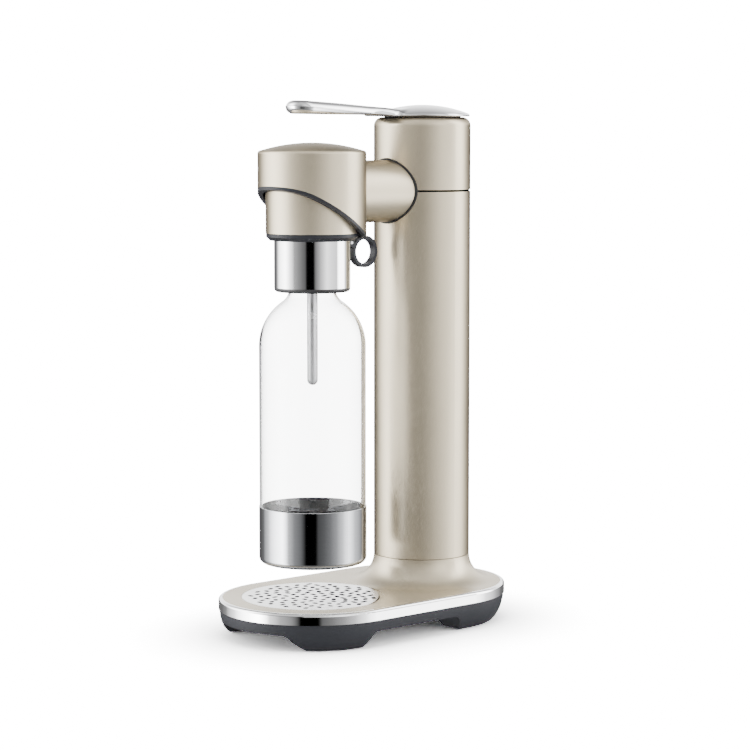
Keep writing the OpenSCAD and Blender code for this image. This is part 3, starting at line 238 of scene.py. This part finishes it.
def grain_group():
    """Two noises on Object coordinates: Fine at the given scale and stretch, Broad a slow drift."""
    group = bpy.data.node_groups.new("fine_grain", "ShaderNodeTree")
    face = group.interface
    scale = face.new_socket("Scale", in_out="INPUT", socket_type="NodeSocketFloat")
    scale.default_value = 1500.0
    face.new_socket("Stretch", in_out="INPUT", socket_type="NodeSocketVector")
    face.new_socket("Fine", in_out="OUTPUT", socket_type="NodeSocketFloat")
    face.new_socket("Broad", in_out="OUTPUT", socket_type="NodeSocketFloat")
    ends = [group.nodes.new(k) for k in ("NodeGroupInput", "NodeGroupOutput")]
    place = group.nodes.new("ShaderNodeTexCoord")
    pull = group.nodes.new("ShaderNodeVectorMath")
    pull.operation = "MULTIPLY"
    fine, broad = (group.nodes.new("ShaderNodeTexNoise") for _ in range(2))
    fine.inputs["Detail"].default_value = 3.0
    broad.inputs["Scale"].default_value = 16.0
    broad.inputs["Detail"].default_value = 2.0
    link = group.links.new
    link(place.outputs["Object"], pull.inputs[0])
    link(ends[0].outputs["Stretch"], pull.inputs[1])
    link(pull.outputs["Vector"], fine.inputs["Vector"])
    link(ends[0].outputs["Scale"], fine.inputs["Scale"])
    link(place.outputs["Object"], broad.inputs["Vector"])
    link(fine.outputs["Fac"], ends[1].inputs["Fine"])
    link(broad.outputs["Fac"], ends[1].inputs["Broad"])
    return group


fine_grain = grain_group()


def grained(tree, shader, dark, light, smooth, rough, scale, stretch=(1, 1, 1), relief=0.0):
    """Drives a shader with the grain: colour from dark to light, roughness from smooth to rough, and
    a bump of the given relief in metres."""
    new, link = tree.nodes.new, tree.links.new
    grain = new("ShaderNodeGroup")
    grain.node_tree = fine_grain
    grain.inputs["Scale"].default_value = scale
    grain.inputs["Stretch"].default_value = stretch
    both = sum_node(tree, "ADD", grain.outputs["Fine"], grain.outputs["Broad"])
    tone = new("ShaderNodeValToRGB")
    tone.color_ramp.elements[0].position, tone.color_ramp.elements[0].color = 0.3, (*dark, 1)
    tone.color_ramp.elements[1].position, tone.color_ramp.elements[1].color = 0.7, (*light, 1)
    link(sum_node(tree, "MULTIPLY", both, 0.5), tone.inputs["Fac"])
    link(tone.outputs["Color"], shader.inputs["Base Color"])
    sheen = new("ShaderNodeMapRange")
    sheen.inputs["From Min"].default_value, sheen.inputs["From Max"].default_value = 0.35, 0.65
    sheen.inputs["To Min"].default_value, sheen.inputs["To Max"].default_value = smooth, rough
    link(grain.outputs["Broad"], sheen.inputs["Value"])
    link(sheen.outputs["Result"], shader.inputs["Roughness"])
    if relief:
        bump = new("ShaderNodeBump")
        bump.inputs["Strength"].default_value = 0.6
        bump.inputs["Distance"].default_value = relief
        link(grain.outputs["Fine"], bump.inputs["Height"])
        link(bump.outputs["Normal"], shader.inputs["Normal"])


def dress(material, *names):
    """Puts one material on each named CAD node."""
    for name in names:
        nodes[name].data.materials.clear()
        nodes[name].data.materials.append(material)


slate_housing, tree, shader = new_material("slate_housing", Specular_IOR_Level=0.12)
grained(tree, shader, (0.022, 0.023, 0.027), (0.030, 0.031, 0.036), 0.42, 0.52, 2600, relief=0.00006)
dress(slate_housing, "base_bottom")
black_rubber, tree, shader = new_material("black_rubber")
grained(tree, shader, (0.012, 0.012, 0.012), (0.022, 0.022, 0.022), 0.7, 0.85, 1400, relief=0.0001)
dress(black_rubber, "foot_pads", "arm_gasket", "cylinder_seal", "nozzle_seal", "bottle_seal")
screw_steel, tree, shader = new_material("screw_steel", Metallic=1.0)
grained(tree, shader, (0.42, 0.42, 0.43), (0.55, 0.55, 0.56), 0.28, 0.4, 900, (1, 1, 6))
dress(screw_steel, "base_screws", "tower_screws", "block_screws", "lever_screws", "arm_screws")
dress(screw_steel, "dock_screws", "ring_pin", "lever_pin")

# The trim is a plated band that runs round the base between the housing and the painted top.
# It is clipped in from above and polished to a mirror.
bright_chrome, tree, shader = new_material("bright_chrome", Metallic=1.0)
grained(tree, shader, (0.80, 0.80, 0.81), (0.88, 0.88, 0.89), 0.04, 0.09, 60)
dress(bright_chrome, "base_trim", "cap_grip")

# The painted pieces share one satin champagne metallic finish: base top with its flared pedestal,
# column, back cover, tower, arm, hood and the sleeve of the cap. The flake darkens towards the edges of
# the upper pieces; the base top has it plain under a thin coat.
paint_low, paint_high, paint_metal = (0.56, 0.490, 0.362), (0.60, 0.526, 0.392), 0.72
paint_smooth, paint_rough, paint_grain, paint_relief = 0.33, 0.38, 5200, 0.000008
paint_edge, flop_start, flop_end, flop_share = (0.62, 0.56, 0.46, 1), 0.4, 0.8, 0.7


def painted(name, **sockets):
    """A material with the champagne flake paint's colour, roughness and fine grain."""
    material, tree, shader = new_material(name, Metallic=paint_metal, **sockets)
    grained(tree, shader, paint_low, paint_high, paint_smooth, paint_rough, paint_grain,
            relief=paint_relief)
    return material, tree, shader


def flop(tree, shader, start, end, share):
    """Darkens the base colour by a share where the surface turns away from the eye, as flake does."""
    weight, mix = tree.nodes.new("ShaderNodeLayerWeight"), tree.nodes.new("ShaderNodeMix")
    mix.data_type, mix.blend_type = "RGBA", "MULTIPLY"
    mix.inputs[0].default_value = 1.0
    tone = shader.inputs["Base Color"].links[0].from_socket
    left = range_node(tree, weight.outputs["Facing"], start, end, 1, 1 - share)
    tree.links.new(tone, mix.inputs[6])
    tree.links.new(left, mix.inputs[7])
    tree.links.new(mix.outputs[2], shader.inputs["Base Color"])


base_paint, tree, shader = painted("base_paint", Coat_Weight=0.05, Coat_Roughness=0.25)
dress(base_paint, "base_top")
champagne_paint, tree, shader = painted("champagne_paint", Specular_Tint=paint_edge)
flop(tree, shader, flop_start, flop_end, flop_share)
dress(champagne_paint, "column_shell", "rear_cover", "tower_head", "arm_tube", "head_shell", "cap_sleeve")

# The seam below the tower holds a matt gasket set back in its groove, so it reads as a black line.
# Its colour is painted shade, darker and duller than the other rubber.
seam_painted_shade, tree, shader = new_material("seam_painted_shade", Specular_IOR_Level=0.0)
grained(tree, shader, (0.003, 0.003, 0.003), (0.006, 0.006, 0.006), 0.85, 0.95, 2600, relief=0.00003)
dress(seam_painted_shade, "seam_gasket")

# The drip tray is a thin bright steel disc, punched with round-ended drain holes over the drip well.
# The cut walls of the holes are painted near black as painted shade of the drip well below,
# and the sheet keeps a slight unevenness from the punching.
tray_top, edge_drop, edge_depth, hole_painted_shade = 0.0312, 0.00002, 0.0001, (0.012, 0.012, 0.013)


def darken_below(tree, shader, level, depth, dark):
    """Fades to a dark colour without metal over a depth below a level, by height in Object coordinates."""
    new, link = tree.nodes.new, tree.links.new
    kinds = ("TexCoord", "SeparateXYZ", "MapRange", "Mix")
    place, part, mask, mix = (new("ShaderNode" + k) for k in kinds)
    mask.inputs["From Min"].default_value = level - depth
    mask.inputs["From Max"].default_value = level
    mix.data_type = "RGBA"
    tone = shader.inputs["Base Color"].links[0].from_socket
    link(place.outputs["Object"], part.inputs[0])
    link(part.outputs["Z"], mask.inputs["Value"])
    link(mask.outputs["Result"], mix.inputs[0])
    mix.inputs[6].default_value = (*dark, 1)
    link(tone, mix.inputs[7])
    link(mix.outputs[2], shader.inputs["Base Color"])
    link(mask.outputs["Result"], shader.inputs["Metallic"])


tray_steel, tree, shader = new_material("tray_steel")
grained(tree, shader, (0.78, 0.78, 0.78), (0.9, 0.9, 0.9), 0.14, 0.24, 260, relief=0.0004)
# Painted shade: below the tray's top the colour turns near black and loses its metal.
darken_below(tree, shader, tray_top - edge_drop, edge_depth, hole_painted_shade)
dress(tray_steel, "drip_tray")

# Inside the column a cast frame carries the valve block and the pivot bracket, and a plastic cup
# steadies the lacquered gas cylinder with its brass valve. The return spring shortens as the plunger
# goes down.
cast_metal, tree, shader = new_material("cast_metal", Metallic=1.0)
grained(tree, shader, (0.42, 0.42, 0.43), (0.56, 0.56, 0.57), 0.4, 0.55, 1300, relief=0.0001)
dress(cast_metal, "column_frame", "pivot_bracket", "valve_block")
dark_moulding, tree, shader = new_material("dark_moulding")
grained(tree, shader, (0.035, 0.035, 0.038), (0.05, 0.05, 0.053), 0.45, 0.6, 1800, relief=0.00005)
dress(dark_moulding, "drip_pan", "cylinder_seat", "cap_core", "thread_insert", "cap_dock")
grey_lacquer, tree, shader = new_material("grey_lacquer", Metallic=0.5, Coat_Weight=0.3)
grained(tree, shader, (0.46, 0.48, 0.50), (0.56, 0.58, 0.60), 0.3, 0.4, 3000, relief=0.00002)
dress(grey_lacquer, "gas_cylinder")
turned_brass, tree, shader = new_material("turned_brass", Metallic=1.0)
grained(tree, shader, (0.52, 0.38, 0.15), (0.66, 0.5, 0.22), 0.22, 0.36, 700, (1, 1, 8))
dress(turned_brass, "cylinder_valve", "valve_pin", "safety_plug", "relief_valve")
rod_steel, tree, shader = new_material("rod_steel", Metallic=1.0)
grained(tree, shader, (0.36, 0.36, 0.37), (0.50, 0.50, 0.51), 0.25, 0.38, 900, (1, 1, 0.1))
dress(rod_steel, "plunger", "plunger_spring", "gas_pipe", "nozzle", "dip_tube")
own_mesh(nodes["plunger_spring"])

# The press lever is one polished casting: a shallow dome over the tower that narrows to a neck and
# widens to a rounded thumb paddle in front. A black plastic body is screwed up into its hollow.
# Its lines are places along y from the column's axis and the widths, rises or radii there, in millimetres.
MM = 0.001
column_y = 63.55
disc_r, disc_low, disc_top, disc_edge, disc_t = 38.7, 412.6, 422.3, 2.2, 1.4
dome_rise = disc_top - disc_low - disc_edge
dome_r = (disc_r**2 + dome_rise**2) / (2 * dome_rise)
lever_reach, paddle_half, lever_tip = 140.5, 14.0, 424.8
tongue_front, tongue_roof = 56.0, 415.2
neck_y, merge_y, roof_y = -54.0, -22.0, -36.0
plan_y, plan_half = [-118, -80, -58, -42, -35, -22], [14, 11.2, 11.2, 14, 15, 0]
ridge_y, ridge_rise = [-133, -92, -56, -38, -20, -4], [12.4, 10.2, 7.8, 6.7, 5.0, -4.0]
keel_y, keel_rise = [-lever_reach, -132, -100, -tongue_front, -disc_r], [2.0, 1.5, 1.2, 1.0, 0.0]
top_round_y, top_round = [-130, -60, -40], [6.0, 6.4, 4.0]
low_round_y, low_round = [-134, -100, -62, -42], [5.4, 3.4, 1.0, 0.4]
rim_round, crown, flank, flank_half, least_wall = 0.9, 0.5, 0.07, 7, 0.5
plan_spread, ridge_spread, round_spread, side_blend, top_blend, top_drop = 4, 8, 6, 0.8, 1.0, 0.3
lip_from, lip_to, roof_ramp, join_half, outer_fall = 0.9, 1.5, 0.4, 5, 3


def soft_max(a, b, blend):
    """The larger of two arrays with a rounded change-over of the given size."""
    return np.maximum(a, b) + blend * np.log1p(np.exp(-np.abs(a - b) / blend))


def ease(value, low, high):
    """Nought below low, one above high, and a smooth step between them."""
    t = np.clip((value - low) / (high - low), 0, 1)
    return t * t * (3 - 2 * t)


def round_off(inside, radius):
    """Drop of a quarter-round edge of a radius at a distance inside the outline."""
    return radius - np.sqrt(np.clip(radius**2 - np.clip(radius - inside, 0, radius) ** 2, 0, None))


def grid_faces(rows, columns):
    """Quads between neighbouring points of a rows by columns grid, as an (n, 4) array."""
    first = np.arange((rows - 1) * columns).reshape(rows - 1, columns)[:, :-1].ravel()
    return np.stack([first, first + 1, first + columns + 1, first + columns], 1)


def smooth_line(y, places, values, spread):
    """A line through points in y, averaged over a spread so that its corners are rounded."""
    steps = np.linspace(-spread, spread, 9)
    return np.mean([np.interp(y + step, places, values) for step in steps], axis=0)


def lever_surface(columns=96):
    """Top and underside as heights over a plan whose half width runs from the paddle's round tip to
    the disc. The top is the softened larger of dome and paddle line; the underside is the paddle's
    lower line, the roof over the black body, or the dome moved in by its wall. Both round off at
    the outline, and a narrow wall joins them."""
    tip_y = paddle_half - lever_reach
    quarter = 1 - np.cos(np.pi / 2 * np.linspace(0, 1, 50))
    y = np.concatenate([
        paddle_half * quarter[:-1] - lever_reach,
        np.linspace(tip_y, neck_y, 80)[:-1],
        np.linspace(neck_y, merge_y, 120)[:-1],
        disc_r - (disc_r - merge_y) * quarter[::-1],
    ])
    rows = len(y)
    disc = np.sqrt(np.clip(disc_r**2 - y**2, 0, None))
    tip = np.sqrt(np.clip(paddle_half**2 - np.clip(tip_y - y, 0, None) ** 2, 0, None)) / paddle_half
    paddle = tip * smooth_line(y, plan_y, plan_half, plan_spread)
    half = (disc**4 + paddle**4) ** 0.25
    across = np.sin(np.pi / 2 * np.linspace(-1, 1, columns))
    x = across[None, :] * half[:, None]
    yy = np.broadcast_to(y[:, None], x.shape)
    r = np.hypot(x, yy)
    tip_side = paddle_half - np.hypot(x, np.minimum(yy - tip_y, 0))
    lever_side = np.minimum(paddle[:, None] - np.abs(x), tip_side)
    disc_side = disc_r - r
    inside = np.clip(soft_max(lever_side, disc_side, side_blend), 0, None)
    inside = inside * ease(half[:, None] - np.abs(x), -0.1, 1.0)
    on_lever = ease(lever_side - disc_side, -join_half, join_half)
    on_disc = np.minimum(r, disc_r)
    dome = disc_top - dome_r + np.sqrt(dome_r**2 - on_disc**2) - outer_fall * (r - on_disc)
    hollow = disc_top - dome_r + np.sqrt((dome_r - disc_t) ** 2 - on_disc**2)
    ridge = disc_low + smooth_line(y, ridge_y, ridge_rise, ridge_spread)[:, None]
    ridge = ridge - crown * (x / paddle_half) ** 2
    ridge = ridge - flank * np.clip(np.abs(x) - flank_half, 0, None) ** 2
    top = soft_max(dome, ridge, top_blend) - top_drop
    keel = np.interp(y, keel_y, keel_rise)
    lip = disc_low + np.where(yy < -disc_r, keel[:, None], 0.0)
    roof = np.where(yy < roof_y, tongue_roof, hollow)
    opened = ease(inside, lip_from, lip_to) * ease(yy, -tongue_front, roof_ramp - tongue_front)
    under = lip + (roof - lip) * opened
    top_edge = smooth_line(y, top_round_y, top_round, round_spread)[:, None]
    top_edge = rim_round + on_lever * (top_edge - rim_round)
    low_edge = np.interp(y, low_round_y, low_round)[:, None]
    top = np.minimum(top - round_off(inside, top_edge), lever_tip)
    under = under + round_off(inside, low_edge)
    top = np.maximum(top, under + least_wall)
    sheets = [np.stack([x, yy + column_y, z], -1).reshape(-1, 3) * MM for z in (top, under)]
    count = rows * columns
    flat = grid_faces(rows, columns)
    index = np.arange(count).reshape(rows, columns)
    ring = np.concatenate([index[0, :-1], index[:-1, -1], index[-1, :0:-1], index[:0:-1, 0]])
    after = np.roll(ring, -1)
    wall = np.stack([ring, ring + count, after + count, after], 1)
    return np.concatenate(sheets), np.concatenate([flat, flat[:, ::-1] + count, wall])


def close_seams(made):
    """Joins points that coincide, drops faces without area and points all faces outwards."""
    work = bmesh.new()
    work.from_mesh(made.data)
    bmesh.ops.remove_doubles(work, verts=work.verts, dist=1e-6)
    bmesh.ops.dissolve_degenerate(work, edges=work.edges, dist=1e-7)
    bmesh.ops.recalc_face_normals(work, faces=work.faces)
    work.to_mesh(made.data)
    work.free()


lever = add_mesh("lever_casting", *lever_surface())
close_seams(lever)
lever.data.materials.append(bright_chrome)
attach(lever, "lever")
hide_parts("lever")
black_moulding, tree, shader = new_material("black_moulding")
grained(tree, shader, (0.016, 0.016, 0.018), (0.026, 0.026, 0.028), 0.4, 0.55, 1900, relief=0.00005)
dress(black_moulding, "lever_base", "grip_lip")

# The hood's dark rim, the collar of the cap and the finger ring are satin slate plastic mouldings.
# The ring turns on a steel pin between the collar's ears.
satin_slate, tree, shader = new_material("satin_slate", Specular_IOR_Level=0.15)
grained(tree, shader, (0.016, 0.017, 0.020), (0.024, 0.025, 0.029), 0.3, 0.4, 2400, relief=0.00003)
dress(satin_slate, "head_rim", "cap_collar", "release_ring")

# The bottle is blown from clear plastic with a round shoulder and an open neck; a polished steel
# cup is bonded round its foot.
bottle_y, bottle_r, neck_r, bottle_wall = -54.25, 42.3, 18.0, 1.6
foot_r, foot_round, foot_low, foot_top = 41.75, 4.2, 60.05, 103.6
step_in, step_mid, step_top = 0.2, 1.1, 2.3
shoulder_r, shoulder_low, hollow_r, mouth_top = 43.0, 231.6, 14.0, 303.4


def arc(centre, radius, start, end, steps):
    """Points on a circle from one angle to another in degrees, as (radius, height) rows."""
    a = np.radians(np.linspace(start, end, steps))
    return np.stack([centre[0] + radius * np.cos(a), centre[1] + radius * np.sin(a)], 1)


def revolve(profile, y, segments=160):
    """A closed (radius, height) loop in millimetres carried round the upright axis at (0, y)."""
    angle = np.linspace(0, 2 * np.pi, segments + 1)
    r, z = profile[:, :1], np.broadcast_to(profile[:, 1:], (len(profile), segments + 1))
    points = np.stack([r * np.cos(angle), y + r * np.sin(angle), z], -1).reshape(-1, 3)
    return points * MM, grid_faces(len(profile), segments + 1)


def bottle_profile(wall):
    """Foot corner, step out to the straight side, round shoulder, hollow curve and neck, moved inwards
    by the wall. The hollow curve meets the shoulder on the line between their centres."""
    centre_r = bottle_r - shoulder_r
    across = neck_r + hollow_r - centre_r
    rise = np.sqrt((shoulder_r + hollow_r) ** 2 - across**2)
    meet = np.degrees(np.arctan2(rise, across))
    return np.concatenate([
        [[0, foot_low + wall]],
        arc((foot_r - foot_round, foot_low + foot_round), foot_round - wall, -90, 0, 10),
        [[foot_r - wall, foot_top]],
        [[bottle_r - step_in - wall, foot_top + step_mid], [bottle_r - wall, foot_top + step_top]],
        arc((centre_r, shoulder_low), shoulder_r - wall, 0, meet, 40),
        arc((neck_r + hollow_r, shoulder_low + rise), hollow_r + wall, 180 + meet, 180, 16)[1:],
        [[neck_r - wall, mouth_top]],
    ])


loop = np.concatenate([bottle_profile(0.0), bottle_profile(bottle_wall)[::-1]])
bottle = add_mesh("bottle_blown", *revolve(loop, bottle_y))
close_seams(bottle)
clear_plastic, tree, shader = new_material("clear_plastic", Transmission_Weight=1.0, IOR=1.42)
grained(tree, shader, (0.98, 0.985, 0.987), (0.988, 0.992, 0.994), 0.01, 0.03, 90)
bottle.data.materials.append(clear_plastic)
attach(bottle, "bottle")
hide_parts("bottle")
cup_steel, tree, shader = new_material("cup_steel", Metallic=1.0)
grained(tree, shader, (0.35, 0.358, 0.375), (0.41, 0.418, 0.435), 0.06, 0.1, 500, (0.2, 0.2, 4))
dress(cup_steel, "bottle_base")
